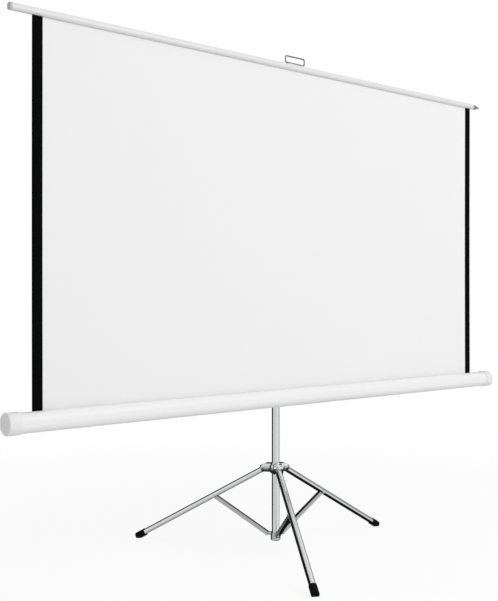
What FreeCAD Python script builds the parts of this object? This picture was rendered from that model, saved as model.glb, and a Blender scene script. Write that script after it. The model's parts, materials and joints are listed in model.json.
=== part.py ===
import FreeCAD, Part
import math
import os
import Sketcher

# Floor-standing roll-up projection screen on a folding tripod.
# Millimetres. The origin is the pole axis on the floor, X runs along the screen,
# the picture faces -Y and Z is up.

doc = FreeCAD.newDocument("projection_screen")
sheet = doc.addObject("Spreadsheet::Sheet", "dims")
FULL_TURN = 360
QUARTER_TURN = 90
HALF_TURN = 180
NOTHING = 1e-9
LOBES = 6


class Size:
    """A length, ratio or angle: its value now and the formula that ties it to the sheet."""

    def __init__(self, value, formula):
        self.value = value
        self.formula = formula

    def __add__(self, other):
        other = as_size(other)
        return Size(self.value + other.value, f"({self.formula} + {other.formula})")

    def __sub__(self, other):
        other = as_size(other)
        return Size(self.value - other.value, f"({self.formula} - {other.formula})")

    def __mul__(self, other):
        other = as_size(other)
        return Size(self.value * other.value, f"({self.formula} * {other.formula})")

    def __truediv__(self, other):
        other = as_size(other)
        return Size(self.value / other.value, f"({self.formula} / {other.formula})")

    def __neg__(self):
        return Size(-self.value, f"(-{self.formula})")


def as_size(number):
    return number if isinstance(number, Size) else Size(number, repr(number))


def size(name, millimetres):
    """Write one driving dimension into the next row of the sheet."""
    row = str(len(sheet_rows) + 1)
    sheet_rows.append(name)
    sheet.set("A" + row, name)
    sheet.set("B" + row, str(millimetres))
    sheet.setAlias("B" + row, name)
    return Size(millimetres, "dims." + name)


def cosine(angle):
    return Size(math.cos(math.radians(angle.value)), f"cos({angle.formula})")


def degrees(number):
    return Size(number.value, f"({number.formula} * 1 deg)")


def arc_cosine(ratio):
    return Size(math.degrees(math.acos(ratio.value)), f"acos({ratio.formula})")


def arc_sine(ratio):
    return Size(math.degrees(math.asin(ratio.value)), f"asin({ratio.formula})")


sheet_rows = []

# Screen cloth
fabric_width = size("fabric_width", 1840)
fabric_drop = size("fabric_drop", 1000)
fabric_thickness = size("fabric_thickness", 0.5)
fabric_bottom = size("fabric_bottom", 530)
fabric_setback = size("fabric_setback", 90)

# Case with its roller
case_height = size("case_height", 52)
case_corner = size("case_corner", 22.5)
case_wall = size("case_wall", 1.5)
case_overhang = size("case_overhang", 71)
slot_width = size("slot_width", 5)
roll_radius = size("roll_radius", 17.5)
roller_radius = size("roller_radius", 15)
roller_wall = size("roller_wall", 1.5)
roller_overhang = size("roller_overhang", 30)
plug_depth = size("plug_depth", 40)
plug_flange = size("plug_flange", 3)
gudgeon_radius = size("gudgeon_radius", 4)
cartridge_length = size("cartridge_length", 260)
cap_rim = size("cap_rim", 2.5)
cap_sleeve = size("cap_sleeve", 23)
cap_dome = size("cap_dome", 12)
cap_wall = size("cap_wall", 4)
cap_bevel = size("cap_bevel", 2.5)
cap_boss_radius = size("cap_boss_radius", 10)
cap_boss_reach = size("cap_boss_reach", 12)

# Top bar with its handle
bar_depth = size("bar_depth", 18)
bar_height = size("bar_height", 18.5)
bar_corner = size("bar_corner", 6.5)
bar_wall = size("bar_wall", 1.3)
bar_overhang = size("bar_overhang", 58)
bar_margin = size("bar_margin", 12)
bar_slot = size("bar_slot", 2.5)
bar_cap_rim = size("bar_cap_rim", 0.3)
bar_cap_length = size("bar_cap_length", 6)
bar_cap_bevel = size("bar_cap_bevel", 1.2)
bar_cap_plug = size("bar_cap_plug", 10)
finial_radius = size("finial_radius", 8.5)
finial_ring = size("finial_ring", 12)
finial_neck = size("finial_neck", 5)
finial_groove = size("finial_groove", 5)
finial_tip = size("finial_tip", 4)
finial_length = size("finial_length", 40)
hem_rod_radius = size("hem_rod_radius", 2)
handle_width = size("handle_width", 86)
handle_rise = size("handle_rise", 25)
handle_corner = size("handle_corner", 5)
wire_radius = size("wire_radius", 2.2)
plate_width = size("plate_width", 64)
plate_wall = size("plate_wall", 1.5)
plate_apron = size("plate_apron", 5)
plate_lip = size("plate_lip", 6)
plate_front = size("plate_front", 4)
lip_gap = size("lip_gap", 8)
screw_spread = size("screw_spread", 48)
screw_head = size("screw_head", 3.6)
screw_head_height = size("screw_head_height", 1.8)
screw_radius = size("screw_radius", 1.6)

# Pole and mast
pole_radius = size("pole_radius", 12.5)
pole_wall = size("pole_wall", 1.2)
pole_foot = size("pole_foot", 36)
pole_top = size("pole_top", 850)
mast_radius = size("mast_radius", 11)
mast_wall = size("mast_wall", 1.2)
mast_foot = size("mast_foot", 680)
mast_drop = size("mast_drop", 31)
bush_flange = size("bush_flange", 6)
bush_plug = size("bush_plug", 20)
hook_width = size("hook_width", 12)
hook_arm = size("hook_arm", 12)
hook_nose = size("hook_nose", 5)
hook_head = size("hook_head", 13)
hook_plug = size("hook_plug", 30)
clamp_radius = size("clamp_radius", 17)
clamp_overlap = size("clamp_overlap", 30)
clamp_neck = size("clamp_neck", 30)
clamp_chamfer = size("clamp_chamfer", 4)
clamp_boss_radius = size("clamp_boss_radius", 8)
clamp_boss_reach = size("clamp_boss_reach", 23)

# Knobs
knob_radius = size("knob_radius", 17)
knob_height = size("knob_height", 16)
knob_edge = size("knob_edge", 3)
knob_neck_radius = size("knob_neck_radius", 8)
knob_neck = size("knob_neck", 4)
knob_scallop = size("knob_scallop", 6)
knob_scallop_ring = size("knob_scallop_ring", 20)
stem_radius = size("stem_radius", 4)

# Carriage that holds the case on the pole
carriage_width = size("carriage_width", 40)
carriage_depth = size("carriage_depth", 44)
carriage_height = size("carriage_height", 40)
carriage_corner = size("carriage_corner", 10)
carriage_boss_radius = size("carriage_boss_radius", 20)
carriage_boss_reach = size("carriage_boss_reach", 40)
carriage_rear_reach = size("carriage_rear_reach", 29)
liner_wall = size("liner_wall", 2)
bolt_radius = size("bolt_radius", 6)
bolt_root = size("bolt_root", 17)
bolt_reach = size("bolt_reach", 57)
bolt_head_radius = size("bolt_head_radius", 9)
bolt_head_height = size("bolt_head_height", 5)
bolt_pocket_radius = size("bolt_pocket_radius", 10)
saddle_width = size("saddle_width", 96)
saddle_height = size("saddle_height", 34)
saddle_wrap = size("saddle_wrap", 10)
saddle_corner = size("saddle_corner", 10)

# Tripod linkage
hub_pivot_height = size("hub_pivot_height", 266)
collar_pivot_height = size("collar_pivot_height", 52)
pivot_ring = size("pivot_ring", 30)
brace_length = size("brace_length", 210)
pivot_offset = size("pivot_offset", 4)
fold_turn = size("fold_turn", 49.5)
pin_radius = size("pin_radius", 2.5)
pin_head_radius = size("pin_head_radius", 4)
pin_head_height = size("pin_head_height", 1.4)
lug_thickness = size("lug_thickness", 9)
lug_radius = size("lug_radius", 5.5)
channel_wall = size("channel_wall", 1.4)
channel_end_radius = size("channel_end_radius", 6.5)
channel_back = size("channel_back", 6.2)
channel_lip = size("channel_lip", 4.8)
web_cutback = size("web_cutback", 10)
collar_radius = size("collar_radius", 16)
collar_height = size("collar_height", 26)
collar_floor = size("collar_floor", 4)
collar_edge = size("collar_edge", 2)
hub_drop = size("hub_drop", 18)
hub_rise = size("hub_rise", 17)
hub_skirt_radius = size("hub_skirt_radius", 22)
hub_shoulder = size("hub_shoulder", 6)
hub_neck_radius = size("hub_neck_radius", 16.5)
hub_edge = size("hub_edge", 2)
hood_gap = size("hood_gap", 0.6)
hood_wall = size("hood_wall", 2.8)
hood_skirt = size("hood_skirt", 9)
hood_length = size("hood_length", 17)
hood_rim = size("hood_rim", 1.6)
hood_rim_length = size("hood_rim_length", 5)

# Legs and feet
leg_half_width = size("leg_half_width", 10)
leg_round = size("leg_round", 9)
leg_wall = size("leg_wall", 1.4)
leg_lead = size("leg_lead", 8)
leg_slot = size("leg_slot", 6.9)
leg_cheek = size("leg_cheek", 5)
leg_end_height = size("leg_end_height", 12.5)
foot_wall = size("foot_wall", 2)
foot_sleeve = size("foot_sleeve", 18)
foot_tip = size("foot_tip", 18)
foot_round = size("foot_round", 3)

# Fits
running_gap = size("running_gap", 0.3)
pin_gap = size("pin_gap", 0.1)
seat_gap = size("seat_gap", 0.02)
doc.recompute()

# Positions that follow from the sizes
case_half = case_height / 2
case_axis_height = fabric_bottom - case_half
roll_offset = roll_radius + fabric_thickness
case_setback = fabric_setback + roll_offset
case_half_length = fabric_width / 2 + case_overhang
roller_half_length = fabric_width / 2 + roller_overhang
bar_axis_height = fabric_bottom + fabric_drop + bar_height / 2
bar_left = fabric_width / 2 + bar_overhang
bar_right = fabric_width / 2 + bar_margin
mast_top = fabric_bottom + fabric_drop - mast_drop + hook_arm
brace_angle = arc_cosine((hub_pivot_height - collar_pivot_height) / (brace_length * 2))
offset_angle = arc_sine(pivot_offset / brace_length)
leg_angle = brace_angle + offset_angle
pivot_station = brace_length * cosine(offset_angle)
leg_length = (hub_pivot_height - leg_end_height) / cosine(leg_angle)
channel_inner = lug_thickness / 2 + running_gap
channel_outer = channel_inner + channel_wall
AZIMUTHS = {1: 120, 2: 240, 3: 0}


def shift(across, back, up):
    """A move along the three axes, as a placement formula."""
    across, back, up = as_size(across), as_size(back), as_size(up)
    corner = f"vector({across.formula}; {back.formula}; {up.formula})"
    return f"placement({corner}; rotation(vector(0; 0; 1); 0))"


def turn(axis, angle):
    """A turn about one axis through the origin, as a placement formula."""
    unit = {"x": "1; 0; 0", "y": "0; 1; 0", "z": "0; 0; 1"}[axis]
    return f"placement(vector(0; 0; 0); rotation(vector({unit}); {as_size(angle).formula}))"


def placed(piece, moves):
    if moves:
        piece.setExpression("Placement", " * ".join(moves))
    return piece


def bind(piece, **sizes):
    for name, length in sizes.items():
        piece.setExpression(name, as_size(length).formula)
    return piece


def cylinder(name, radius, height, *moves):
    piece = doc.addObject("Part::Cylinder", name)
    bind(piece, Radius=radius, Height=height)
    return placed(piece, moves)


def cross_cylinder(name, radius, length, *moves):
    """A cylinder along Y, centred on its own origin."""
    centring = (turn("x", QUARTER_TURN), shift(0, 0, -length / 2))
    return cylinder(name, radius, length, *moves, *centring)


def block(name, low, high, *moves):
    """A box between two corners."""
    low = [as_size(number) for number in low]
    high = [as_size(number) for number in high]
    piece = doc.addObject("Part::Box", name)
    bind(piece, Length=high[0] - low[0], Width=high[1] - low[1], Height=high[2] - low[2])
    return placed(piece, (*moves, shift(*low)))


def joined(name, pieces, *moves):
    piece = doc.addObject("Part::MultiFuse", name)
    piece.Shapes = pieces
    return placed(piece, moves)


def cut(name, base, tools, *moves):
    tool = tools[0] if len(tools) == 1 else joined(name + "_tools", tools)
    piece = doc.addObject("Part::Cut", name)
    piece.Base = base
    piece.Tool = tool
    return placed(piece, moves)


def grouped(name, pieces):
    piece = doc.addObject("Part::Compound", name)
    piece.Links = pieces
    return piece


def pin_point(sketch, curve, end, across, up):
    """Hold one end of a sketch curve at a place given by two formulas."""
    for kind, axis, place in (("DistanceX", -2, across), ("DistanceY", -1, up)):
        if place.value == 0:
            sketch.addConstraint(Sketcher.Constraint("PointOnObject", curve, end, axis))
            continue
        index = sketch.addConstraint(Sketcher.Constraint(kind, -1, 1, curve, end, place.value))
        label = f"{kind}_{curve}_{end}"
        sketch.renameConstraint(index, label)
        sketch.setExpression("Constraints." + label, place.formula)


def sign(number):
    return (number > NOTHING) - (number < -NOTHING)


def new_sketch(body, plane, name):
    sketch = body.newObject("Sketcher::SketchObject", name)
    origin_plane = [part for part in body.Origin.OriginFeatures if part.Role == plane][0]
    sketch.AttachmentSupport = [(origin_plane, "")]
    sketch.MapMode = "FlatFace"
    return sketch


def add_outline(sketch, corners):
    """Draw a closed outline, counter-clockwise; a third number rounds a square corner."""
    corners = [[as_size(number) for number in corner] for corner in corners]
    count = len(corners)
    steps = []
    for index, corner in enumerate(corners):
        following = corners[(index + 1) % count]
        steps.append([sign(following[axis].value - corner[axis].value) for axis in (0, 1)])
    lines = []
    for index, corner in enumerate(corners):
        following = corners[(index + 1) % count]
        ends = []
        for place, way in ((corner, 1), (following, -1)):
            radius = place[2] if len(place) > 2 else as_size(0)
            spot = []
            for axis in (0, 1):
                step = steps[index][axis] * way
                moved = place[axis] + radius * step if radius.value and step else place[axis]
                spot.append(moved)
            ends.append(spot)
        vectors = [FreeCAD.Vector(spot[0].value, spot[1].value, 0) for spot in ends]
        line = sketch.addGeometry(Part.LineSegment(*vectors))
        lines.append((line, vectors, ends))
    for index, (line, vectors, ends) in enumerate(lines):
        pin_point(sketch, line, 1, *ends[0])
        next_line, next_vectors = lines[(index + 1) % count][:2]
        corner = corners[(index + 1) % count]
        if len(corner) < 3:
            sketch.addConstraint(Sketcher.Constraint("Coincident", line, 2, next_line, 1))
            continue
        pin_point(sketch, line, 2, *ends[1])
        before, after = steps[index], steps[(index + 1) % count]
        left_turn = before[0] * after[1] - before[1] * after[0] > 0
        inward = FreeCAD.Vector(after[0] - before[0], after[1] - before[1], 0)
        apex = FreeCAD.Vector(corner[0].value, corner[1].value, 0)
        centre = apex + inward * corner[2].value
        spokes = [vectors[1] - centre, next_vectors[0] - centre]
        angles = [math.atan2(spoke.y, spoke.x) for spoke in spokes]
        if not left_turn:
            angles.reverse()
        circle = Part.Circle(centre, FreeCAD.Vector(0, 0, 1), corner[2].value)
        arc = sketch.addGeometry(Part.ArcOfCircle(circle, *angles))
        arc_start, arc_end = (1, 2) if left_turn else (2, 1)
        sketch.addConstraint(Sketcher.Constraint("Tangent", line, 2, arc, arc_start))
        sketch.addConstraint(Sketcher.Constraint("Coincident", arc, arc_end, next_line, 1))


def add_circle(sketch, across, up, radius):
    across, up, radius = as_size(across), as_size(up), as_size(radius)
    centre = FreeCAD.Vector(across.value, up.value, 0)
    curve = sketch.addGeometry(Part.Circle(centre, FreeCAD.Vector(0, 0, 1), radius.value))
    pin_point(sketch, curve, 3, across, up)
    index = sketch.addConstraint(Sketcher.Constraint("Radius", curve, radius.value))
    label = f"Radius_{curve}"
    sketch.renameConstraint(index, label)
    sketch.setExpression("Constraints." + label, radius.formula)


def turned(name, corners, *moves):
    """A piece of revolution about its own Z axis; corners are (radius, height)."""
    body = doc.addObject("PartDesign::Body", name)
    profile = new_sketch(body, "XZ_Plane", name + "_profile")
    add_outline(profile, corners)
    spin = body.newObject("PartDesign::Revolution", name + "_spin")
    spin.Profile = profile
    spin.ReferenceAxis = (profile, ["V_Axis"])
    spin.Angle = FULL_TURN
    return placed(body, moves)


def tube(name, outer, inner, length, *moves):
    """A round tube that stands on its own origin."""
    body = doc.addObject("PartDesign::Body", name)
    profile = new_sketch(body, "XY_Plane", name + "_profile")
    add_circle(profile, 0, 0, outer)
    add_circle(profile, 0, 0, inner)
    pad = body.newObject("PartDesign::Pad", name + "_pad")
    pad.Profile = profile
    bind(pad, Length=length)
    return placed(body, moves)


def rounded_box(half_depth, half_height, corner):
    """The four corners of a rounded section about the origin."""
    return [
        (-half_depth, -half_height, corner),
        (half_depth, -half_height, corner),
        (half_depth, half_height, corner),
        (-half_depth, half_height, corner),
    ]


def arch(half_width, skirt, corner):
    """A section with a rounded crown, as across and up, about the line of the pivots."""
    return [
        (-half_width, -skirt),
        (half_width, -skirt),
        (half_width, half_width, corner),
        (-half_width, half_width, corner),
    ]


def padded(name, plane, outlines, length, *moves, centred=True):
    """A section drawn on an origin plane and drawn out along the plane's normal."""
    body = doc.addObject("PartDesign::Body", name)
    profile = new_sketch(body, plane, name + "_profile")
    for corners in outlines:
        add_outline(profile, corners)
    pad = body.newObject("PartDesign::Pad", name + "_pad")
    pad.Profile = profile
    pad.Midplane = centred
    bind(pad, Length=length)
    return placed(body, moves)


def far_edges(shape):
    """Names of the edges that lie wholly at the far end of a shape along X."""
    limit = shape.BoundBox.XMax
    names = []
    for number, edge in enumerate(shape.Edges, 1):
        if abs(edge.BoundBox.XMin - limit) < seat_gap.value:
            names.append(f"Edge{number}")
    return names


def rounded_end(body, radius):
    """Round the rim at the far end of a drawn-out body."""
    doc.recompute()
    base = body.Tip
    rim = body.newObject("PartDesign::Fillet", body.Name + "_rim")
    rim.Base = (base, far_edges(base.Shape))
    bind(rim, Radius=radius)


def bevelled_end(body, width):
    """Bevel the rim at the far end of a drawn-out body."""
    doc.recompute()
    base = body.Tip
    rim = body.newObject("PartDesign::Chamfer", body.Name + "_rim")
    rim.Base = (base, far_edges(base.Shape))
    bind(rim, Size=width)


def rivet(name, grip, *moves):
    """A headed pin along Y, centred on its own origin."""
    half_grip = grip / 2 + running_gap
    shank = cross_cylinder(name + "_shank", pin_radius, half_grip * 2)
    head_centre = half_grip + pin_head_height / 2
    heads = []
    for side, place in (("left", head_centre), ("right", -head_centre)):
        label = f"{name}_{side}_head"
        heads.append(cross_cylinder(label, pin_head_radius, pin_head_height, shift(0, place, 0)))
    return joined(name, [shank, *heads], *moves)


def lug(name, inner_end, thickness, radius, *moves):
    """A flat arm from the pole side out to a rounded end at the pivot."""
    arm = block(name + "_arm", (-inner_end, -thickness / 2, -radius), (0, thickness / 2, radius))
    end = cross_cylinder(name + "_end", radius, thickness)
    return joined(name, [arm, end], *moves)


case_axis = shift(0, -case_setback, case_axis_height)
bar_axis = shift(0, -fabric_setback, bar_axis_height)
mast_line = shift(0, 0, mast_foot)
nodes = []

# Pole
nodes.append(tube("pole_tube", pole_radius, pole_radius - pole_wall, pole_top - pole_foot,
                  shift(0, 0, pole_foot)))

# Collar at the foot of the pole, with a lug for each brace
collar_base = pole_foot - collar_floor
collar_body = turned("collar_body", [
    (0, 0),
    (collar_radius - collar_edge, 0),
    (collar_radius, collar_edge),
    (collar_radius, collar_height - collar_edge),
    (collar_radius - collar_edge, collar_height),
    (0, collar_height),
], shift(0, 0, collar_base))
collar_parts = [collar_body]
collar_holes = [cylinder("collar_bore", pole_radius + seat_gap, collar_height, shift(0, 0, pole_foot))]
collar_pins = []
for number, azimuth in AZIMUTHS.items():
    pivot = (turn("z", azimuth), shift(pivot_ring, 0, collar_pivot_height))
    collar_parts.append(lug(f"collar_lug_{number}", pivot_ring - pole_radius,
                            lug_thickness, lug_radius, *pivot))
    collar_holes.append(cross_cylinder(f"collar_hole_{number}", pin_radius + seat_gap,
                                       lug_thickness * 2, *pivot))
    collar_pins.append(rivet(f"collar_rivet_{number}", channel_outer * 2, *pivot))
nodes.append(cut("foot_collar", joined("collar_casting", collar_parts), collar_holes))
nodes.append(grouped("collar_rivets", collar_pins))

# Hub that slides on the pole, with a hood over the top of each leg
hub_bell = turned("hub_bell", [
    (0, -hub_drop),
    (hub_neck_radius, -hub_drop),
    (hub_skirt_radius, -hub_shoulder),
    (hub_skirt_radius, hub_shoulder),
    (hub_neck_radius, hub_rise - hub_edge),
    (hub_neck_radius - hub_edge, hub_rise),
    (0, hub_rise),
], shift(0, 0, hub_pivot_height))
hub_bore = cylinder("hub_bore", pole_radius + running_gap, hub_drop + hub_rise,
                    shift(0, 0, hub_pivot_height - hub_drop))
down_leg = turn("y", QUARTER_TURN)
slot_half = leg_half_width + hood_gap
hood_half = slot_half + hood_wall
hood_round = leg_round + hood_gap + hood_wall
rim_half = hood_half + hood_rim
slot_reach = hood_length * 2
hub_parts = [hub_bell]
hub_cuts = [hub_bore]
hub_pins = []
for number, azimuth in AZIMUTHS.items():
    pivot = (turn("z", azimuth), shift(pivot_ring, 0, hub_pivot_height))
    open_leg = (*pivot, turn("y", -leg_angle), down_leg)
    folded_leg = (*pivot, turn("y", degrees(fold_turn) - leg_angle), down_leg)
    hub_parts.append(lug(f"hub_ear_{number}", pivot_ring - pole_radius,
                         hood_half * 2, hood_half, *pivot))
    hub_parts.append(padded(f"hub_hood_{number}", "YZ_Plane",
                            [arch(hood_half, hood_skirt, hood_round)],
                            hood_length, *open_leg, centred=False))
    hub_parts.append(padded(f"hub_rim_{number}", "YZ_Plane",
                            [arch(rim_half, hood_skirt, hood_round + hood_rim)],
                            hood_rim_length, *open_leg, shift(hood_length - hood_rim_length, 0, 0),
                            centred=False))
    hub_cuts.append(padded(f"hub_slot_{number}", "YZ_Plane",
                           [arch(slot_half, slot_reach, leg_round + hood_gap)],
                           slot_reach, *open_leg, centred=False))
    hub_cuts.append(block(f"hub_fold_slot_{number}", (0, -slot_half, -slot_half),
                          (slot_reach, slot_half, slot_half), *folded_leg))
    hub_cuts.append(cross_cylinder(f"hub_eye_{number}", slot_half, slot_half * 2, *pivot))
    hub_cuts.append(cross_cylinder(f"hub_hole_{number}", pin_radius + seat_gap, hood_half * 4, *pivot))
    hub_pins.append(rivet(f"hub_rivet_{number}", hood_half * 2, *pivot))
nodes.append(cut("hub", joined("hub_casting", hub_parts), hub_cuts))
nodes.append(grouped("hub_rivets", hub_pins))

# Legs: each is built hanging down from its hub pivot, then swung out
bore_half = leg_half_width - leg_wall
wall_middle = leg_half_width - leg_wall / 2
socket_half = leg_half_width + seat_gap
foot_half = leg_half_width + foot_wall
for number, azimuth in AZIMUTHS.items():
    swung = (turn("z", azimuth), shift(pivot_ring, 0, hub_pivot_height), turn("y", -leg_angle))
    name = f"leg_{number}"

    sheet_parts = [padded(name + "_pipe", "YZ_Plane", [
        rounded_box(leg_half_width, leg_half_width, leg_round),
        rounded_box(bore_half, bore_half, leg_round - leg_wall),
    ], leg_length - leg_lead, down_leg, shift(leg_lead, 0, 0), centred=False)]
    for side, across in (("left", wall_middle), ("right", -wall_middle)):
        cheek = shift(0, across, 0)
        sheet_parts.append(block(f"{name}_{side}_cheek", (-leg_cheek, -leg_wall / 2, -leg_lead * 2),
                                 (leg_half_width - leg_round, leg_wall / 2, 0), cheek))
        sheet_parts.append(cross_cylinder(f"{name}_{side}_eye", leg_half_width, leg_wall, cheek))
    brace_pivot = shift(-pivot_offset, 0, -pivot_station)
    leg_holes = [
        block(name + "_slot", (-leg_half_width, -leg_slot, -leg_length), (0, leg_slot, 0)),
        cross_cylinder(name + "_hub_hole", pin_radius + pin_gap, foot_half * 2),
        cross_cylinder(name + "_brace_hole", pin_radius + seat_gap, foot_half * 2, brace_pivot),
    ]
    nodes.append(cut(name + "_channel", joined(name + "_sheet", sheet_parts), leg_holes, *swung))
    nodes.append(rivet(name + "_rivet", leg_half_width * 2, *swung, brace_pivot))

    foot_root = shift(leg_length - foot_sleeve, 0, 0)
    boot = padded(name + "_boot", "YZ_Plane", [rounded_box(foot_half, foot_half, leg_round + foot_wall)],
                  foot_sleeve + foot_tip, down_leg, foot_root, centred=False)
    rounded_end(boot, foot_round)
    socket = padded(name + "_socket", "YZ_Plane", [rounded_box(socket_half, socket_half, leg_round)],
                    foot_sleeve, down_leg, foot_root, centred=False)
    to_floor = (turn("y", leg_angle), shift(-pivot_ring, 0, -hub_pivot_height))
    ground = block(name + "_ground", (0, -foot_sleeve, -foot_sleeve),
                   (leg_length, foot_sleeve, 0), *to_floor)
    nodes.append(cut(name + "_foot", boot, [socket, ground], *swung))

# Braces: channels from the collar up into each leg
back_face = -channel_back - channel_wall
flanges = (("left", channel_inner, channel_outer), ("right", -channel_outer, -channel_inner))
for number, azimuth in AZIMUTHS.items():
    name = f"brace_{number}"
    leaned = (turn("z", azimuth), shift(pivot_ring, 0, collar_pivot_height), turn("y", brace_angle))
    walls = [block(name + "_web", (back_face, -channel_outer, web_cutback),
                   (-channel_back, channel_outer, brace_length - web_cutback))]
    for side, near, far in flanges:
        middle = (near + far) / 2
        walls.append(block(f"{name}_{side}_flange", (back_face, near, 0),
                           (channel_lip, far, brace_length)))
        for end, place in (("foot", 0), ("head", brace_length)):
            walls.append(cross_cylinder(f"{name}_{side}_{end}", channel_end_radius, channel_wall,
                                        shift(0, middle, place)))
    holes = []
    for end, place in (("foot", 0), ("head", brace_length)):
        holes.append(cross_cylinder(f"{name}_{end}_hole", pin_radius + pin_gap, channel_outer * 4,
                                    shift(0, 0, place)))
    nodes.append(cut(name, joined(name + "_channel", walls), holes, *leaned))


def star_knob(name, stem_length, *moves):
    """A lobed hand knob on a stem; the stem tip is the origin and the knob points along Z."""
    top = stem_length + knob_neck + knob_height
    blank = turned(name + "_blank", [
        (0, 0),
        (stem_radius, 0),
        (stem_radius, stem_length),
        (knob_neck_radius, stem_length),
        (knob_neck_radius, stem_length + knob_neck),
        (knob_radius - knob_edge, stem_length + knob_neck),
        (knob_radius, stem_length + knob_neck + knob_edge),
        (knob_radius, top - knob_edge),
        (knob_radius - knob_edge, top),
        (0, top),
    ])
    scallops = []
    for lobe in range(LOBES):
        scallops.append(cylinder(f"{name}_scallop_{lobe}", knob_scallop, knob_height * 2,
                                 turn("z", FULL_TURN * lobe / LOBES),
                                 shift(knob_scallop_ring, 0, stem_length + knob_neck)))
    return cut(name, blank, scallops, *moves)


backward = turn("x", -QUARTER_TURN)
forward = turn("x", QUARTER_TURN)
along = turn("y", QUARTER_TURN)

# Clamp on top of the pole that holds the mast
clamp_top = pole_top + clamp_neck
clamp_knob_height = pole_top + clamp_neck / 2
clamp_ring = turned("clamp_ring", [
    (mast_radius + running_gap, pole_top + seat_gap),
    (pole_radius + seat_gap, pole_top + seat_gap),
    (pole_radius + seat_gap, pole_top - clamp_overlap),
    (clamp_radius, pole_top - clamp_overlap),
    (clamp_radius, clamp_top - clamp_chamfer),
    (clamp_radius - clamp_chamfer, clamp_top),
    (mast_radius + running_gap, clamp_top),
])
clamp_boss = cylinder("clamp_boss", clamp_boss_radius, clamp_boss_reach,
                      shift(0, 0, clamp_knob_height), backward)
clamp_bore = cylinder("clamp_bore", mast_radius + running_gap, clamp_neck + clamp_overlap,
                      shift(0, 0, pole_top - clamp_overlap))
clamp_stem_hole = cylinder("clamp_stem_hole", stem_radius + pin_gap, clamp_boss_reach * 2,
                           shift(0, 0, clamp_knob_height), backward)
nodes.append(cut("mast_clamp", joined("clamp_casting", [clamp_ring, clamp_boss]),
                 [clamp_bore, clamp_stem_hole]))
mast_stem_tip = mast_radius + running_gap
nodes.append(star_knob("mast_knob", clamp_boss_reach - mast_stem_tip + running_gap,
                       shift(0, mast_stem_tip, clamp_knob_height), backward))

# Carriage on the pole, with its liner, knob and swivel bolt
carriage_at = shift(0, 0, case_axis_height)
carriage_block = padded("carriage_block", "XY_Plane",
                        [rounded_box(carriage_width / 2, carriage_depth / 2, carriage_corner)],
                        carriage_height)
carriage_front = cylinder("carriage_front", carriage_boss_radius, carriage_boss_reach, forward)
carriage_rear = cylinder("carriage_rear", clamp_boss_radius, carriage_rear_reach, backward)
liner_radius = pole_radius + running_gap / 2 + liner_wall
carriage_bore = cylinder("carriage_bore", liner_radius + seat_gap, carriage_height * 2,
                         shift(0, 0, -carriage_height))
carriage_stem_hole = cylinder("carriage_stem_hole", stem_radius + pin_gap, carriage_depth, backward)
carriage_bolt_hole = cylinder("carriage_bolt_hole", bolt_radius + seat_gap, carriage_depth, forward)
nodes.append(cut("carriage", joined("carriage_casting", [carriage_block, carriage_front, carriage_rear]),
                 [carriage_bore, carriage_stem_hole, carriage_bolt_hole], carriage_at))
nodes.append(tube("carriage_liner", liner_radius, pole_radius + running_gap / 2, carriage_height,
                  carriage_at, shift(0, 0, -carriage_height / 2)))
carriage_stem_tip = liner_radius + running_gap
nodes.append(star_knob("carriage_knob", carriage_rear_reach - carriage_stem_tip + running_gap,
                       shift(0, carriage_stem_tip, case_axis_height), backward))
nodes.append(turned("swivel_bolt", [
    (0, bolt_root),
    (bolt_radius, bolt_root),
    (bolt_radius, bolt_reach),
    (bolt_head_radius, bolt_reach),
    (bolt_head_radius, bolt_reach + bolt_head_height),
    (0, bolt_reach + bolt_head_height),
], carriage_at, forward))

# Saddle that cradles the back of the case and turns on the swivel bolt
case_back = case_setback - case_half
saddle_face = carriage_boss_reach + running_gap
saddle_block = padded("saddle_block", "XZ_Plane",
                      [rounded_box(saddle_width / 2, saddle_height / 2, saddle_corner)],
                      case_back + saddle_wrap - saddle_face, shift(0, -saddle_face, 0), centred=False)
saddle_bed = padded("saddle_bed", "YZ_Plane",
                    [rounded_box(case_half + seat_gap, case_half + seat_gap, case_corner)],
                    saddle_width * 2, shift(0, -case_setback, 0))
saddle_hole = cylinder("saddle_hole", bolt_radius + pin_gap, case_setback, forward)
saddle_pocket = cylinder("saddle_pocket", bolt_pocket_radius, case_setback,
                         shift(0, running_gap - bolt_reach, 0), forward)
nodes.append(cut("case_saddle", saddle_block, [saddle_bed, saddle_hole, saddle_pocket], carriage_at))

# Case tube with the slot that the cloth leaves by
case_shell = padded("case_shell", "YZ_Plane", [
    rounded_box(case_half, case_half, case_corner),
    rounded_box(case_half - case_wall, case_half - case_wall, case_corner - case_wall),
], case_half_length * 2)
slot_low = (-case_half_length, roll_offset - slot_width / 2, 0)
slot_high = (case_half_length, roll_offset + slot_width / 2, case_height)
nodes.append(cut("case_tube", case_shell, [block("case_slot", slot_low, slot_high)], case_axis))

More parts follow.
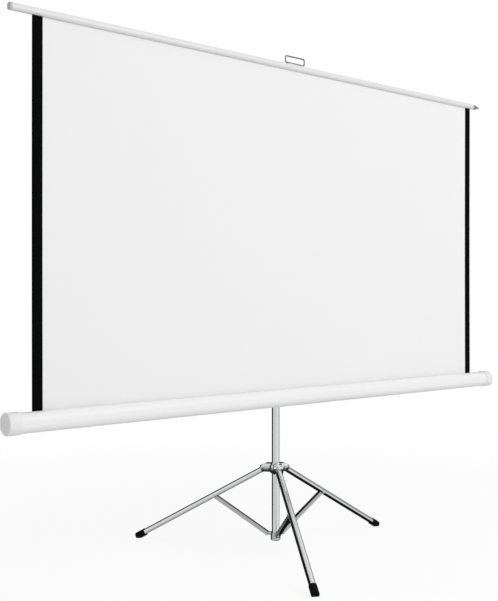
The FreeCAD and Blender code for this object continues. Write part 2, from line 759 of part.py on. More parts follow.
# End caps of the case, each with a bearing for the roller
cap_half = case_half + cap_rim
hollow_half = case_half - cap_wall
for side, facing in (("right", 0), ("left", HALF_TURN)):
    name = "case_cap_" + side
    blank = padded(name + "_blank", "YZ_Plane",
                   [rounded_box(cap_half, cap_half, case_corner + cap_rim)],
                   cap_sleeve + cap_dome, centred=False)
    bevelled_end(blank, cap_bevel)
    socket = padded(name + "_socket", "YZ_Plane",
                    [rounded_box(case_half + seat_gap, case_half + seat_gap, case_corner)],
                    cap_sleeve, centred=False)
    hollow = padded(name + "_hollow", "YZ_Plane",
                    [rounded_box(hollow_half, hollow_half, case_corner - cap_wall)],
                    cap_sleeve + cap_dome - cap_wall, centred=False)
    shell = cut(name + "_shell", blank, [socket, hollow])
    boss = cylinder(name + "_boss", cap_boss_radius, cap_boss_reach + cap_dome - cap_wall / 2,
                    shift(cap_sleeve - cap_boss_reach, 0, 0), along)
    bore = cylinder(name + "_bore", gudgeon_radius + pin_gap, cap_sleeve + cap_dome - cap_wall * 2, along)
    nodes.append(cut(name, joined(name + "_moulding", [shell, boss]), [bore],
                     case_axis, turn("z", facing), shift(case_half_length - cap_sleeve, 0, 0)))

# Roller, its two plugs, the spring cartridge inside it and the cloth wound on it
roller_inner = roller_radius - roller_wall
nodes.append(tube("roller_tube", roller_radius, roller_inner, roller_half_length * 2,
                  case_axis, along, shift(0, 0, -roller_half_length)))
gudgeon_end = case_half_length + cap_dome - cap_wall * 3
for side, facing in (("right", QUARTER_TURN), ("left", -QUARTER_TURN)):
    nodes.append(turned("roller_plug_" + side, [
        (0, roller_half_length - plug_depth),
        (roller_inner - seat_gap, roller_half_length - plug_depth),
        (roller_inner - seat_gap, roller_half_length),
        (roller_radius, roller_half_length),
        (roller_radius, roller_half_length + plug_flange),
        (gudgeon_radius, roller_half_length + plug_flange),
        (gudgeon_radius, gudgeon_end),
        (0, gudgeon_end),
    ], case_axis, turn("y", facing)))
cartridge_end = roller_half_length - plug_depth - seat_gap
nodes.append(cylinder("spring_cartridge", roller_inner - seat_gap, cartridge_length,
                      case_axis, along, shift(0, 0, cartridge_end - cartridge_length)))
nodes.append(tube("fabric_roll", roll_radius, roller_radius + seat_gap, fabric_width,
                  case_axis, along, shift(0, 0, -fabric_width / 2)))

# Cloth, from the roll up into the top bar
fabric_top = bar_axis_height - hem_rod_radius - seat_gap
nodes.append(block("screen_fabric",
                   (-fabric_width / 2, -fabric_setback - fabric_thickness / 2, case_axis_height),
                   (fabric_width / 2, -fabric_setback + fabric_thickness / 2, fabric_top)))

# Top bar, with the slot for the cloth and the rod in its hem
bar_half_depth = bar_depth / 2
bar_half_height = bar_height / 2
bar_shell = padded("bar_shell", "YZ_Plane", [
    rounded_box(bar_half_depth, bar_half_height, bar_corner),
    rounded_box(bar_half_depth - bar_wall, bar_half_height - bar_wall, bar_corner - bar_wall),
], bar_left + bar_right, shift(-bar_left, 0, 0), centred=False)
bar_cuts = [block("bar_gap", (-bar_left, -bar_slot / 2, -bar_height), (bar_right, bar_slot / 2, 0))]
screw_spots = {"left": -screw_spread / 2, "right": screw_spread / 2}
for side, across in screw_spots.items():
    bar_cuts.append(cylinder("bar_hole_" + side, screw_radius + seat_gap, bar_depth,
                             shift(across, 0, 0), backward))
nodes.append(cut("bar_tube", bar_shell, bar_cuts, bar_axis))
nodes.append(cylinder("hem_rod", hem_rod_radius, fabric_width,
                      bar_axis, along, shift(0, 0, -fabric_width / 2)))


def bar_plug(name):
    """The part of an end cap that fits inside the bar."""
    inset = bar_wall + seat_gap
    section = rounded_box(bar_half_depth - inset, bar_half_height - inset, bar_corner - inset)
    return padded(name, "YZ_Plane", [section], bar_cap_plug, shift(-bar_cap_plug, 0, 0), centred=False)


# End caps of the bar: a flat one on the left, a grooved and tapered one on the right
flat_section = rounded_box(bar_half_depth + bar_cap_rim, bar_half_height + bar_cap_rim,
                           bar_corner + bar_cap_rim)
flat_end = padded("bar_flat_end", "YZ_Plane", [flat_section], bar_cap_length, centred=False)
bevelled_end(flat_end, bar_cap_bevel)
nodes.append(joined("bar_cap_left", [flat_end, bar_plug("bar_plug_left")],
                    bar_axis, turn("z", HALF_TURN), shift(bar_left, 0, 0)))
finial = turned("bar_finial", [
    (0, 0),
    (finial_radius, 0),
    (finial_radius, finial_ring),
    (finial_neck, finial_ring),
    (finial_neck, finial_ring + finial_groove),
    (finial_radius, finial_ring + finial_groove),
    (finial_tip, finial_length),
    (0, finial_length),
], along)
nodes.append(joined("bar_cap_right", [finial, bar_plug("bar_plug_right")],
                    bar_axis, shift(bar_right, 0, 0)))

# Bent plate on the bar: it braces the handle and hooks on the mast behind
plate_inner = bar_half_depth + seat_gap
plate_outer = plate_inner + plate_wall
plate_base = bar_half_height + seat_gap
plate_top = plate_base + plate_wall
lip_inner = plate_outer + lip_gap
lip_outer = lip_inner + plate_wall
plate_blank = padded("plate_blank", "YZ_Plane", [[
    (-plate_front, plate_base),
    (plate_inner, plate_base, plate_wall),
    (plate_inner, -plate_apron),
    (plate_outer, -plate_apron),
    (plate_outer, plate_lip),
    (lip_inner, plate_lip),
    (lip_inner, -plate_lip),
    (lip_outer, -plate_lip),
    (lip_outer, plate_lip + plate_wall, plate_wall),
    (plate_outer, plate_lip + plate_wall),
    (plate_outer, plate_top, plate_wall),
    (-plate_front, plate_top),
]], plate_width)
plate_holes = []
for side, across in screw_spots.items():
    plate_holes.append(cylinder("plate_hole_" + side, screw_radius + seat_gap, lip_inner,
                                shift(across, 0, 0), backward))
    plate_holes.append(cylinder("plate_access_" + side, screw_head + running_gap, lip_gap + plate_wall,
                                shift(across, plate_outer + plate_wall, 0), backward))
nodes.append(cut("handle_plate", plate_blank, plate_holes, bar_axis))
screws = []
for side, across in screw_spots.items():
    screws.append(turned("plate_screw_" + side, [
        (0, bar_half_depth - bar_wall),
        (screw_radius, bar_half_depth - bar_wall),
        (screw_radius, plate_outer + seat_gap),
        (screw_head, plate_outer + seat_gap),
        (screw_head, plate_outer + screw_head_height / 2),
        (screw_radius, plate_outer + screw_head_height),
        (0, plate_outer + screw_head_height),
    ], bar_axis, shift(across, 0, 0), backward))
nodes.append(grouped("plate_screws", screws))

# Wire handle: a round bar bent into a loop that stands on the plate
handle = doc.addObject("PartDesign::Body", "pull_handle")
wire_half = handle_width / 2 - wire_radius
wire_low = plate_top + seat_gap + wire_radius
wire_high = plate_top + handle_rise - wire_radius
wire_path = new_sketch(handle, "XZ_Plane", "handle_path")
add_outline(wire_path, [
    (0, wire_high),
    (-wire_half, wire_high, handle_corner),
    (-wire_half, wire_low, handle_corner),
    (wire_half, wire_low, handle_corner),
    (wire_half, wire_high, handle_corner),
])
wire_section = new_sketch(handle, "YZ_Plane", "handle_section")
add_circle(wire_section, 0, wire_high, wire_radius)
wire = handle.newObject("PartDesign::AdditivePipe", "handle_wire")
wire.Profile = wire_section
wire.Spine = wire_path
nodes.append(placed(handle, (bar_axis,)))

# Mast that slides in the pole, with its guide bush and the hook that carries the bar
mast_inner = mast_radius - mast_wall
nodes.append(tube("mast_tube", mast_radius, mast_inner, mast_top - hook_arm - mast_foot, mast_line))
nodes.append(turned("mast_bush", [
    (0, -bush_flange),
    (pole_radius - pole_wall - pin_gap, -bush_flange),
    (pole_radius - pole_wall - pin_gap, 0),
    (mast_inner - seat_gap, 0),
    (mast_inner - seat_gap, bush_plug),
    (0, bush_plug),
], mast_line))
hook_base = mast_top - hook_arm
nose_middle = -fabric_setback + plate_outer + lip_gap / 2
hook_parts = [
    cylinder("hook_plug_rod", mast_inner - seat_gap, hook_plug + hook_arm / 2,
             shift(0, 0, hook_base - hook_plug)),
    cylinder("hook_disc", hook_head, hook_arm, shift(0, 0, hook_base)),
    block("hook_bar", (-hook_width / 2, nose_middle - hook_nose / 2, hook_base),
          (hook_width / 2, 0, mast_top)),
    block("hook_tip", (-hook_width / 2, nose_middle - hook_nose / 2, hook_base),
          (hook_width / 2, nose_middle + hook_nose / 2, bar_axis_height + plate_lip - running_gap)),
]
nodes.append(joined("mast_hook", hook_parts))

doc.recompute()
for piece in doc.Objects:
    if "Invalid" in piece.State or "Error" in piece.State:
        raise RuntimeError("not built: " + piece.Label)
os.makedirs("parts", exist_ok=True)
for node in nodes:
    shape = node.Shape
    if shape.isNull() or not shape.isValid() or not shape.Solids:
        raise RuntimeError("no sound solid: " + node.Label)
    shape.exportStep(os.path.join("parts", node.Label + ".step"))
    print(node.Label, len(shape.Solids), round(shape.Volume), shape.BoundBox)
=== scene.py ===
import json
import math

import bpy
import numpy as np
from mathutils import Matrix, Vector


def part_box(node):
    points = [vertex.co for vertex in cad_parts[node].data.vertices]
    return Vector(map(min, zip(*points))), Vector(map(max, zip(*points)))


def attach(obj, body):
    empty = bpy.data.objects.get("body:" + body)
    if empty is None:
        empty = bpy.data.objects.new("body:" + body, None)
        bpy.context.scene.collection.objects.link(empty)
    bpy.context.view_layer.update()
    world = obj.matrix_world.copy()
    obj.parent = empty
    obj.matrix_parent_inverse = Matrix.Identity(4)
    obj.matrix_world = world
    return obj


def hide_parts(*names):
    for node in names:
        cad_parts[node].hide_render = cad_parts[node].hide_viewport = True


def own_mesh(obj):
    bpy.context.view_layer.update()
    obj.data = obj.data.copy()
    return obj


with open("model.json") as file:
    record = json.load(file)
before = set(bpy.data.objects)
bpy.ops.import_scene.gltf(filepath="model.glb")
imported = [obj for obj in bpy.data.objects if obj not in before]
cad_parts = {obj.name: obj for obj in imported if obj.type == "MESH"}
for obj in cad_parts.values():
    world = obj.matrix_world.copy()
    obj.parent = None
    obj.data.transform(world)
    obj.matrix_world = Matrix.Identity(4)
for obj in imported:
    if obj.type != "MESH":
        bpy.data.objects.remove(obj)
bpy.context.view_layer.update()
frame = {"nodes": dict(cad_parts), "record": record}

# Floor-standing roll-up projection screen on a folding tripod, in metres.
NODES = frame["nodes"]
UPRIGHT = (0, 0, 1)
ACROSS = (1, 0, 0)

# The photograph's frame and the camera that fits it
IMAGE_HEIGHT = 601
FOCAL_PIXELS = 950
HORIZON_ROW = 296.2
SENSOR = 36
CAMERA_PLACE = (-2.0841, -2.2545, 0.819)
CAMERA_YAW = math.radians(41.144)

# Cloth: the space of its solid, then its borders, its slack and its turns on the roller
CLOTH_LOW, CLOTH_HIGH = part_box("screen_fabric")
CLOTH_HALF_WIDTH = CLOTH_HIGH.x
CLOTH_LENGTH = CLOTH_HIGH.z - CLOTH_LOW.z
CLOTH_PLANE = (CLOTH_LOW.y + CLOTH_HIGH.y) / 2
CLOTH_THICKNESS = CLOTH_HIGH.y - CLOTH_LOW.y
BORDER_WIDTH = 0.030
BORDER_FRAY = 0.0006
SLACK = 0.0012
ROLL_TURNS = 3.5
ROLL_PITCH = 0.00053
FLAT_CLOTH = "flat_cloth"

# Tripod linkage, repeated from the solids
LEG_AZIMUTHS = {1: math.radians(120), 2: math.radians(240), 3: 0.0}
PIVOT_RING = 0.030
HUB_PIVOT = 0.266
COLLAR_PIVOT = 0.052
BRACE_LENGTH = 0.210
RIVET_OFFSET = 0.004
BRACE_LEAN = math.acos((HUB_PIVOT - COLLAR_PIVOT) / (2 * BRACE_LENGTH))
LEG_LEAN = BRACE_LEAN + math.asin(RIVET_OFFSET / BRACE_LENGTH)
# The middles of their walls, which part the plated outside from the inside, where shade is painted near
# black
LEG_CORE = 0.001
LEG_MID_WALL = 0.0083
BRACE_MID_FLANGE = 0.0055
BRACE_MID_WEB = 0.0069

# Studio. A panel is its azimuth, height and spread in degrees, and how much brighter it is than the room.
FLOOR_HALF = 12.0
FLOOR_WHITE_SHARE = 0.86
FLOOR_WHITE_FROM, FLOOR_WHITE_TO = 0.9, 3.2
ROOM_LEVEL = 0.84
ROOM_DARKEST = 0.01
PANELS = (
    (84, 0, 70, -0.86),
    (338, -58, 46, -0.86),
    (336, 5, 18, -0.45),
    (214, -52, 38, -0.34),
    (14, 8, 25, -0.55),
    (287, -9, 34, 0.16),
    (160, 20, 26, 0.16),
    (8, 54, 26, 0.16),
)
PANEL_CORE = 0.7
AMBIENT_LEVEL = 0.70
AMBIENT_SWING = 0.34
BRIGHT_SIDE = (0.66, -0.42, 0.62)
LIGHT_TARGET = (0, 0, 0.9)


class Wire:
    """A socket's value. Arithmetic on it adds Math nodes; numbers alone stay in Python."""

    def __init__(self, nodes, socket):
        self.nodes = nodes
        self.socket = socket

    def maths(self, operation, *values):
        node = self.nodes.add("ShaderNodeMath", {"operation": operation}, dict(enumerate(values)))
        return node.out(0)

    def at_least(self, other):
        return self.maths("MAXIMUM", self, other)

    def __add__(self, other):
        return self.maths("ADD", self, other)

    def __radd__(self, other):
        return self.maths("ADD", other, self)

    def __sub__(self, other):
        return self.maths("SUBTRACT", self, other)

    def __rsub__(self, other):
        return self.maths("SUBTRACT", other, self)

    def __mul__(self, other):
        return self.maths("MULTIPLY", self, other)

    def __rmul__(self, other):
        return self.maths("MULTIPLY", other, self)

    def __gt__(self, other):
        return self.maths("GREATER_THAN", self, other)

    def __lt__(self, other):
        return self.maths("LESS_THAN", self, other)

    def __abs__(self):
        return self.maths("ABSOLUTE", self)


class Node:
    """A shader node whose outputs come out as wires."""

    def __init__(self, nodes, node):
        self.nodes = nodes
        self.node = node

    def out(self, key):
        return Wire(self.nodes, self.node.outputs[key])


class Nodes:
    """A node tree, with one way to add a node: its type, its settings, then its inputs."""

    def __init__(self, tree):
        self.tree = tree

    def add(self, kind, settings=None, inputs=None):
        node = self.tree.nodes.new(kind)
        for name, setting in (settings or {}).items():
            setattr(node, name, setting)
        for key, value in (inputs or {}).items():
            self.feed(node.inputs[key], value)
        return Node(self, node)

    def feed(self, socket, value):
        if isinstance(value, Wire):
            self.tree.links.new(value.socket, socket)
        else:
            socket.default_value = value

    def mix(self, share, first, second):
        """One colour turning into another."""
        node = self.add("ShaderNodeMix", {"data_type": "RGBA"}, {0: share, 6: first, 7: second})
        return node.out(2)

    def mix_shader(self, share, first, second):
        """One shader turning into another."""
        return self.add("ShaderNodeMixShader", None, {0: share, 1: first, 2: second}).out(0)

    def fade(self, value, start, end, low=0.0, high=1.0, curve="SMOOTHSTEP"):
        """From low to high while a value runs from start to end, and level beyond them."""
        settings = {"interpolation_type": curve, "clamp": True}
        return self.add("ShaderNodeMapRange", settings, {0: value, 1: start, 2: end, 3: low, 4: high}).out(0)

    def vector(self, operation, *values):
        return self.add("ShaderNodeVectorMath", {"operation": operation}, dict(enumerate(values)))

    def place(self):
        """Object coordinates, in metres."""
        return self.add("ShaderNodeTexCoord").out("Object")

    def flat_cloth(self):
        """Places on the cloth laid flat, in metres."""
        return self.add("ShaderNodeUVMap", {"uv_map": FLAT_CLOTH}).out(0)

    def reach(self, place, direction):
        """How far a place lies along a direction."""
        return self.vector("DOT_PRODUCT", place, direction).out("Value")

    def noise(self, place, scale, detail=3.0, roughness=0.5):
        inputs = {"Vector": place, "Scale": scale, "Detail": detail, "Roughness": roughness}
        return self.add("ShaderNodeTexNoise", {"noise_dimensions": "3D"}, inputs).out(0)

    def along(self, place, direction, stretch):
        """Coordinates drawn out along one direction, so that a noise on them makes long streaks."""
        run = self.reach(place, direction)
        pull = self.add("ShaderNodeVectorMath", {"operation": "SCALE"},
                        {0: direction, "Scale": run * (1 - 1 / stretch)}).out(0)
        return self.vector("SUBTRACT", place, pull).out(0)

    def bump(self, height, distance, strength):
        inputs = {"Height": height, "Distance": distance, "Strength": strength}
        return self.add("ShaderNodeBump", None, inputs).out(0)


def grey(level, cool=0.0):
    """A near-neutral colour; cool tips it towards blue."""
    return (level - cool, level, level + cool, 1)


BLACK, WHITE = grey(0.0), grey(1.0)


def finish(name, roughness, metallic=0.0, constants=None):
    """A new material with a plain shader, and the nodes to vary it with."""
    material = bpy.data.materials.new(name)
    material.use_nodes = True
    nodes = Nodes(material.node_tree)
    shader = material.node_tree.nodes["Principled BSDF"]
    shader.inputs["Roughness"].default_value = roughness
    shader.inputs["Metallic"].default_value = metallic
    for key, value in (constants or {}).items():
        shader.inputs[key].default_value = value
    return material, nodes, shader.inputs


def drawn_metal(name, direction, bright, dull, shine, painted_shade_mask=None):
    """Drawn or rolled metal: hair-fine streaks along the piece and faint smudges.

    The optional mask function of nodes and place is 1 on the inside of a channel, where the metal is painted
    near black and dull as shade.
    """
    material, nodes, sockets = finish(name, shine, metallic=1.0)
    place = nodes.place()
    streak = nodes.noise(nodes.along(place, direction, stretch=60), scale=900, detail=2)
    smudge = nodes.noise(place, scale=18, detail=4, roughness=0.6)
    colour = nodes.mix(streak * 0.6 + smudge * 0.4, bright, dull)
    gloss = shine + (streak - 0.5) * 0.06 + (smudge - 0.5) * 0.06
    # Painted shade: inside a channel the colour turns near black, rougher and not metallic.
    if painted_shade_mask:
        inside = painted_shade_mask(nodes, place)
        colour = nodes.mix(inside, colour, grey(0.004))
        gloss = gloss + inside * 0.4
        nodes.feed(sockets["Metallic"], 1.0 - inside)
    nodes.feed(sockets["Base Color"], colour)
    nodes.feed(sockets["Roughness"], gloss)
    nodes.feed(sockets["Normal"], nodes.bump(streak, distance=0.00004, strength=0.5))
    return material


def cast_metal(name):
    """A casting given a polish on top and rougher underneath, where its colour is painted near black as
    shade, with soft ripples left by the mould.
    """
    material, nodes, sockets = finish(name, 0.2, metallic=1.0)
    place = nodes.place()
    ripple = nodes.noise(place, scale=140, detail=3)
    grain = nodes.noise(place, scale=1100, detail=2)
    above = nodes.reach(place, UPRIGHT) - HUB_PIVOT + (ripple - 0.5) * 0.006
    # Painted shade: below the pivots the colour fades to near black, as the shade under the hub; above, the
    # casting keeps its polish and smoother finish.
    polish_and_painted_shade = nodes.fade(above, start=-0.008, end=0.006)
    skin = nodes.mix(ripple, grey(0.62, 0.004), grey(0.90, 0.004))
    nodes.feed(sockets["Base Color"], nodes.mix(polish_and_painted_shade, grey(0.06, 0.001), skin))
    nodes.feed(sockets["Roughness"], 0.26 + ripple * 0.14 + grain * 0.05 - polish_and_painted_shade * 0.20)
    nodes.feed(sockets["Normal"], nodes.bump(ripple, distance=0.0008, strength=0.5))
    return material


def pressed_steel(name, light, dark, shine):
    """Pressed sheet or bent wire under dull plating: mottled crystals and a fine grain."""
    material, nodes, sockets = finish(name, shine, metallic=1.0)
    place = nodes.place()
    mottle = nodes.noise(place, scale=60, detail=5, roughness=0.65)
    grain = nodes.noise(place, scale=1500, detail=2)
    nodes.feed(sockets["Base Color"], nodes.mix(mottle, light, dark))
    nodes.feed(sockets["Roughness"], shine - 0.08 + mottle * 0.16 + grain * 0.06)
    nodes.feed(sockets["Normal"], nodes.bump(grain, distance=0.00003, strength=0.6))
    return material


def coated_metal(name, light, dark):
    """White coating on an extrusion: orange peel, and faint lines from the die along X."""
    material, nodes, sockets = finish(name, 0.38, constants={"Coat Weight": 0.15, "Coat Roughness": 0.25})
    place = nodes.place()
    peel = nodes.noise(place, scale=420, detail=3)
    die_line = nodes.noise(nodes.along(place, ACROSS, stretch=400), scale=260, detail=2)
    cloud = nodes.noise(place, scale=5, detail=3)
    nodes.feed(sockets["Base Color"], nodes.mix(cloud * 0.5 + die_line * 0.5, light, dark))
    nodes.feed(sockets["Roughness"], 0.32 + peel * 0.12)
    nodes.feed(sockets["Normal"], nodes.bump(peel * 0.6 + die_line * 0.4, distance=0.0002, strength=0.35))
    return material


def moulded_plastic(name, light, dark, shine):
    """Moulded plastic: a spark-eroded skin and slight flow marks."""
    material, nodes, sockets = finish(name, shine)
    place = nodes.place()
    skin = nodes.noise(place, scale=1800, detail=2)
    flow = nodes.noise(place, scale=30, detail=4, roughness=0.6)
    nodes.feed(sockets["Base Color"], nodes.mix(flow * 0.7 + skin * 0.3, light, dark))
    nodes.feed(sockets["Roughness"], shine - 0.06 + flow * 0.14)
    nodes.feed(sockets["Normal"], nodes.bump(skin, distance=0.00015, strength=0.5))
    return material


def foot_rubber(name):
    """Black rubber: dull, dusty towards the floor, with a pebbled skin."""
    material, nodes, sockets = finish(name, 0.8, constants={"Specular IOR Level": 0.1})
    place = nodes.place()
    pebble = nodes.noise(place, scale=900, detail=3)
    height = nodes.reach(place, UPRIGHT) + nodes.noise(place, scale=120, detail=4) * 0.012
    dust = nodes.fade(height, start=0.016, end=0.004, high=0.5, curve="LINEAR")
    nodes.feed(sockets["Base Color"], nodes.mix(dust, grey(0.003), grey(0.022)))
    nodes.feed(sockets["Roughness"], 0.70 + pebble * 0.2)
    nodes.feed(sockets["Normal"], nodes.bump(pebble, distance=0.0003, strength=0.4))
    return material


def weave(nodes, cut, pitch):
    """Height of a plain weave: two crossed rows of threads, in metres of the flat cloth.

    The bands of a wave texture repeat every pi / (10 * scale).
    """
    threads = []
    for axis in ("X", "Y"):
        inputs = {"Vector": cut, "Scale": math.pi / (10 * pitch), "Distortion": 0.4, "Detail": 1.0}
        settings = {"wave_type": "BANDS", "bands_direction": axis, "wave_profile": "SIN"}
        threads.append(nodes.add("ShaderNodeTexWave", settings, inputs).out(1))
    return threads[0] * threads[1]


def cloth_front(name):
    """Matt white picture side with a black border down each edge; the coating shows the weave."""
    material, nodes, sockets = finish(name, 0.9, constants={"Specular IOR Level": 0.03})
    cut = nodes.flat_cloth()
    ragged = nodes.noise(cut, scale=900, detail=1) * BORDER_FRAY
    border = abs(nodes.reach(cut, ACROSS)) + ragged > CLOTH_HALF_WIDTH - BORDER_WIDTH
    threads = weave(nodes, cut, pitch=0.0007)
    cloud = nodes.noise(cut, scale=3, detail=3)
    white = nodes.mix(cloud * 0.6 + threads * 0.4, grey(0.865), grey(0.845))
    black = nodes.mix(threads, grey(0.0015), grey(0.004))
    nodes.feed(sockets["Base Color"], nodes.mix(border, white, black))
    nodes.feed(sockets["Roughness"], 0.92 - border * 0.2)
    nodes.feed(sockets["Normal"], nodes.bump(threads, distance=0.00012, strength=0.4))
    return material


def cloth_back(name):
    """Black backing of the cloth, with a coarser weave and the chalky marks of rolling."""
    material, nodes, sockets = finish(name, 0.85, constants={"Specular IOR Level": 0.3})
    cut = nodes.flat_cloth()
    threads = weave(nodes, cut, pitch=0.0010)
    chalk = nodes.noise(nodes.along(cut, ACROSS, stretch=30), scale=40, detail=4, roughness=0.6)
    nodes.feed(sockets["Base Color"], nodes.mix(threads * 0.4 + chalk * 0.6, grey(0.012), grey(0.030)))
    nodes.feed(sockets["Roughness"], 0.78 + chalk * 0.16)
    nodes.feed(sockets["Normal"], nodes.bump(threads, distance=0.0002, strength=0.5))
    return material


def added(name, data):
    """A new object in the scene, at the origin."""
    thing = bpy.data.objects.new(name, data)
    bpy.context.scene.collection.objects.link(thing)
    return thing


def quads(rows, columns, start=0):
    """The faces of a grid of points that is stored row by row."""
    first = start + np.arange(rows - 1)[:, None] * columns + np.arange(columns - 1)[None, :]
    return np.stack([first, first + 1, first + 1 + columns, first + columns], axis=-1).reshape(-1, 4)


def thin_sheet(name, front, back, flat):
    """Two grids of points, the sheet's faces, joined round the rim into one closed skin.

    The rim runs once round the grid's edge; each step of it makes one quad between the faces.
    """
    rows, columns = front.shape[:2]
    count = rows * columns
    index = np.arange(count).reshape(rows, columns)
    rim = np.concatenate([index[0, :-1], index[:-1, -1], index[-1, :0:-1], index[:0:-1, 0]])
    after = np.roll(rim, -1)
    edge = np.stack([after, rim, rim + count, after + count], axis=-1)
    faces = np.concatenate([quads(rows, columns), quads(rows, columns, count)[:, ::-1], edge])
    points = np.concatenate([front.reshape(-1, 3), back.reshape(-1, 3)])
    mesh = bpy.data.meshes.new(name)
    mesh.from_pydata(points.tolist(), [], faces.tolist())
    layer = mesh.uv_layers.new(name=FLAT_CLOTH)
    spread = np.concatenate([flat.reshape(-1, 2)] * 2)
    layer.data.foreach_set("uv", spread[faces.ravel()].ravel())
    face_count = (rows - 1) * (columns - 1)
    side = np.concatenate([np.zeros(face_count, int), np.ones(len(faces) - face_count, int)])
    mesh.polygons.foreach_set("material_index", side)
    mesh.polygons.foreach_set("use_smooth", np.arange(len(faces)) < 2 * face_count)
    mesh.update()
    return added(name, mesh)


def drawn_cloth():
    """The cloth between the case and the bar: x across, z up, y = plane + slack.

    slack = SLACK * sin(pi * up) * (across**6 + 0.25 * cos(2.5 * pi * across)): the edges curl back
    a little halfway up, and the middle keeps the faint waves of the roll.
    """
    across = np.linspace(-1, 1, 121)[None, :]
    up = np.linspace(0, 1, 81)[:, None]
    x = CLOTH_HALF_WIDTH * across + 0 * up
    z = CLOTH_LOW.z + CLOTH_LENGTH * up + 0 * across
    slack = SLACK * np.sin(np.pi * up) * (across ** 6 + 0.25 * np.cos(2.5 * np.pi * across))
    front = np.stack([x, CLOTH_PLANE + slack - CLOTH_THICKNESS / 2, z], axis=-1)
    back = front + np.array([0, CLOTH_THICKNESS, 0])
    return thin_sheet("cloth_drawn", front, back, np.stack([x, z], axis=-1))


def wound_cloth():
    """The cloth on the roller, and its length: a spiral about the axis, a pitch further out each turn.

    radius = outer - pitch * (turns - turn) and angle = 2 * pi * (turn - turns); y and z are the radius
    times the angle's cosine and sine, and x runs along the roller. The outer end comes out at the back,
    where the drawn cloth rises, so the picture side faces inwards.
    """
    low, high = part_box("fabric_roll")
    middle = (low + high) / 2
    outer = (high.z - low.z) / 2
    turn = np.linspace(0, ROLL_TURNS, 220)[:, None]
    across = np.linspace(-1, 1, 41)[None, :]
    angle = 2 * np.pi * (turn - ROLL_TURNS)
    radius = outer - ROLL_PITCH * (ROLL_TURNS - turn)
    x = CLOTH_HALF_WIDTH * across + 0 * turn

    def skin(depth):
        y = middle.y + (radius - depth) * np.cos(angle) + 0 * across
        z = middle.z + (radius - depth) * np.sin(angle) + 0 * across
        return np.stack([x, y, z], axis=-1)

    flat = np.stack([x, 2 * np.pi * turn * radius + 0 * across], axis=-1)
    piece = thin_sheet("cloth_wound", skin(CLOTH_THICKNESS), skin(0.0), flat)
    mean_radius = outer - CLOTH_THICKNESS / 2 - ROLL_PITCH * ROLL_TURNS / 2
    return piece, 2 * np.pi * mean_radius * ROLL_TURNS


def spoke(number, outward, up):
    """A direction in the upright plane of one leg."""
    azimuth = LEG_AZIMUTHS[number]
    return (outward * math.cos(azimuth), outward * math.sin(azimuth), up)


def across_leg(number):
    """The level direction across one leg."""
    azimuth = LEG_AZIMUTHS[number]
    return (-math.sin(azimuth), math.cos(azimuth), 0.0)


def inside_leg(number):
    """1 on the inner skin of a leg, where shade is painted: nearer to its middle than the middle of its
    wall.
    """
    crown = spoke(number, math.cos(LEG_LEAN), math.sin(LEG_LEAN))
    root = PIVOT_RING * math.cos(LEG_LEAN) + HUB_PIVOT * math.sin(LEG_LEAN)

    def mask(nodes, place):
        side = (abs(nodes.reach(place, across_leg(number))) - LEG_CORE).at_least(0.0)
        rise = (abs(nodes.reach(place, crown) - root) - LEG_CORE).at_least(0.0)
        return side * side + rise * rise < LEG_MID_WALL ** 2

    return mask


def inside_brace(number):
    """1 between the flanges of a brace, above its web, where shade is painted."""
    opening = spoke(number, math.cos(BRACE_LEAN), -math.sin(BRACE_LEAN))
    root = PIVOT_RING * math.cos(BRACE_LEAN) - COLLAR_PIVOT * math.sin(BRACE_LEAN)

    def mask(nodes, place):
        between = abs(nodes.reach(place, across_leg(number))) < BRACE_MID_FLANGE
        above = nodes.reach(place, opening) - root > -BRACE_MID_WEB
        return between * above

    return mask


def pale_floor():
    """A level square, white to the camera where no shadow falls, and not seen in the metal."""
    mesh = bpy.data.meshes.new("floor")
    half = FLOOR_HALF
    corners = [(-half, -half, 0), (half, -half, 0), (half, half, 0), (-half, half, 0)]
    mesh.from_pydata(corners, [], [(0, 1, 2, 3)])
    material, nodes, sockets = finish("pale_floor", 0.9)
    sockets["Base Color"].default_value = grey(0.90)
    tree = material.node_tree
    path = nodes.add("ShaderNodeLightPath")
    distance = nodes.vector("LENGTH", nodes.place()).out("Value")
    white_share = nodes.fade(distance, FLOOR_WHITE_FROM, FLOOR_WHITE_TO, low=FLOOR_WHITE_SHARE)
    painted = Node(nodes, tree.nodes["Principled BSDF"]).out(0)
    glow = nodes.add("ShaderNodeEmission", None, {"Color": WHITE, "Strength": 1.0}).out(0)
    clear = nodes.add("ShaderNodeBsdfTransparent").out(0)
    lit = nodes.mix_shader(path.out("Is Camera Ray") * white_share, painted, glow)
    surface = nodes.mix_shader(path.out("Is Glossy Ray"), lit, clear)
    nodes.feed(tree.nodes["Material Output"].inputs["Surface"], surface)
    mesh.materials.append(material)
    return added("floor", mesh)


def panel(nodes, way, azimuth, height, spread, brighter):
    """One round panel in the room: full strength near its heading, nothing past its spread."""
    turn, tilt = math.radians(azimuth), math.radians(height)
    heading = (math.cos(turn) * math.cos(tilt), math.sin(turn) * math.cos(tilt), math.sin(tilt))
    rim = math.cos(math.radians(spread))
    core = math.cos(math.radians(spread * PANEL_CORE))
    return nodes.fade(nodes.reach(way, heading), rim, core, high=brighter)


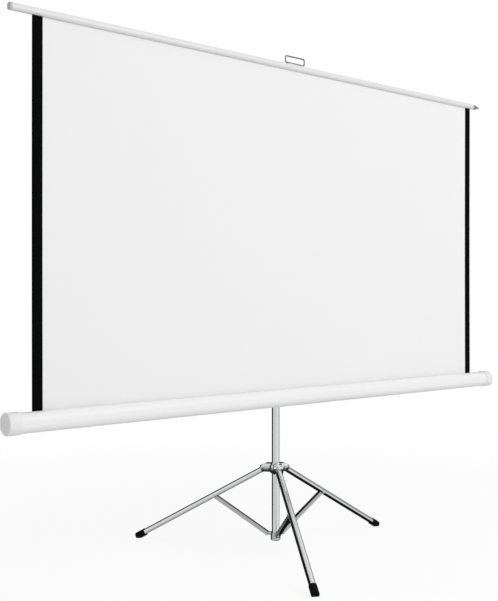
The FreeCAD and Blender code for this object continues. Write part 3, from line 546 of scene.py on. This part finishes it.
def studio():
    """A pale room, brighter to the front right, with panels that only the metal sees."""
    world = bpy.data.worlds.new("studio")
    world.use_nodes = True
    world.node_tree.nodes.clear()
    nodes = Nodes(world.node_tree)
    way = nodes.add("ShaderNodeTexCoord").out("Generated")
    path = nodes.add("ShaderNodeLightPath")
    room = ROOM_LEVEL
    for placing in PANELS:
        room = room + panel(nodes, way, *placing)
    mirrored = nodes.mix(room.at_least(ROOM_DARKEST), BLACK, WHITE)
    ambient = AMBIENT_LEVEL + nodes.reach(way, BRIGHT_SIDE) * AMBIENT_SWING
    shade = nodes.mix(ambient, BLACK, WHITE)
    light = nodes.mix(path.out("Is Glossy Ray"), shade, mirrored)
    colour = nodes.mix(path.out("Is Camera Ray"), light, WHITE)
    sky = nodes.add("ShaderNodeBackground", None, {"Color": colour, "Strength": 1.0}).out(0)
    nodes.add("ShaderNodeOutputWorld", None, {0: sky})
    return world


def soft_box(name, place, width, watts):
    """A square area light turned to face the screen."""
    lamp = bpy.data.lights.new(name, "AREA")
    lamp.size = width
    lamp.energy = watts
    holder = added(name, lamp)
    holder.location = place
    aim = np.array(LIGHT_TARGET) - np.array(place)
    heading = math.atan2(aim[1], aim[0])
    dip = math.atan2(-aim[2], math.hypot(aim[0], aim[1]))
    holder.rotation_euler = (math.pi / 2 - dip, 0, heading - math.pi / 2)


# Finishes: one for each material slot, then the pieces that differ from their slot
CHROME = {"bright": grey(0.80, 0.006), "dull": grey(0.62, 0.006), "shine": 0.07}
BRACE_STEEL = {"bright": grey(0.54, 0.004), "dull": grey(0.38, 0.004), "shine": 0.18}
picture_side = cloth_front("cloth_front")
backing = cloth_back("cloth_back")
finishes = {
    "white_paint": coated_metal("white_coating", grey(0.86), grey(0.83)),
    "white_plastic": moulded_plastic("white_cap_plastic", grey(0.82), grey(0.78), shine=0.42),
    "grey_plastic": moulded_plastic("grey_cap_plastic", grey(0.56, 0.004), grey(0.46, 0.004), shine=0.45),
    "black_plastic": moulded_plastic("black_plastic", grey(0.008), grey(0.016), shine=0.5),
    "chrome": drawn_metal("pole_chrome", UPRIGHT, **CHROME),
    "steel": pressed_steel("plated_steel", grey(0.66), grey(0.50), shine=0.32),
    "grey_steel": pressed_steel("pressed_steel", grey(0.62, 0.005), grey(0.46, 0.005), shine=0.30),
    "polished_metal": cast_metal("hub_casting"),
    "rubber": foot_rubber("foot_rubber"),
    "roller_metal": drawn_metal("roller_metal", ACROSS, grey(0.62), grey(0.50), shine=0.38),
    "screen_cloth": backing,
}
coats = {part["node"]: finishes[part["material_slot"]] for part in frame["record"]["subparts"]}
coats["pull_handle"] = pressed_steel("wire_steel", grey(0.30), grey(0.20), shine=0.34)
coats["bar_tube"] = coated_metal("bar_coating", grey(0.75), grey(0.71))
coats["bar_cap_right"] = moulded_plastic("finial_plastic", grey(0.34, 0.004), grey(0.26, 0.004), shine=0.45)
for number in LEG_AZIMUTHS:
    down = spoke(number, math.sin(LEG_LEAN), -math.cos(LEG_LEAN))
    up = spoke(number, math.sin(BRACE_LEAN), math.cos(BRACE_LEAN))
    coats[f"leg_{number}_channel"] = drawn_metal(f"leg_{number}_chrome", down, **CHROME,
                                                 painted_shade_mask=inside_leg(number))
    coats[f"brace_{number}"] = drawn_metal(f"brace_{number}_steel", up, **BRACE_STEEL,
                                           painted_shade_mask=inside_brace(number))
for name, coat in coats.items():
    NODES[name].data.materials.clear()
    NODES[name].data.materials.append(coat)

# Cloth
cloth = drawn_cloth()
roll, roll_length = wound_cloth()
for piece, body, solid in ((cloth, "case", "screen_fabric"), (roll, "roller", "fabric_roll")):
    piece.data.materials.append(picture_side)
    piece.data.materials.append(backing)
    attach(piece, body)
    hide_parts(solid)
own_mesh(cloth)

# Floor, room and lights
pale_floor()
bpy.context.scene.world = studio()
soft_box("key_light", (1.8, -3.8, 3.2), width=2.2, watts=34)
soft_box("fill_light", (-1.2, -4.0, 2.4), width=2.0, watts=10)

# Camera
lens = bpy.data.cameras.new("camera")
lens.sensor_fit = "VERTICAL"
lens.sensor_height = SENSOR
lens.lens = FOCAL_PIXELS * SENSOR / IMAGE_HEIGHT
lens.shift_y = (HORIZON_ROW - IMAGE_HEIGHT / 2) / IMAGE_HEIGHT
camera = added("camera", lens)
camera.location = CAMERA_PLACE
camera.rotation_euler = (math.pi / 2, 0, -CAMERA_YAW)
bpy.context.scene.camera = camera
bpy.context.scene.view_settings.view_transform = "Standard"
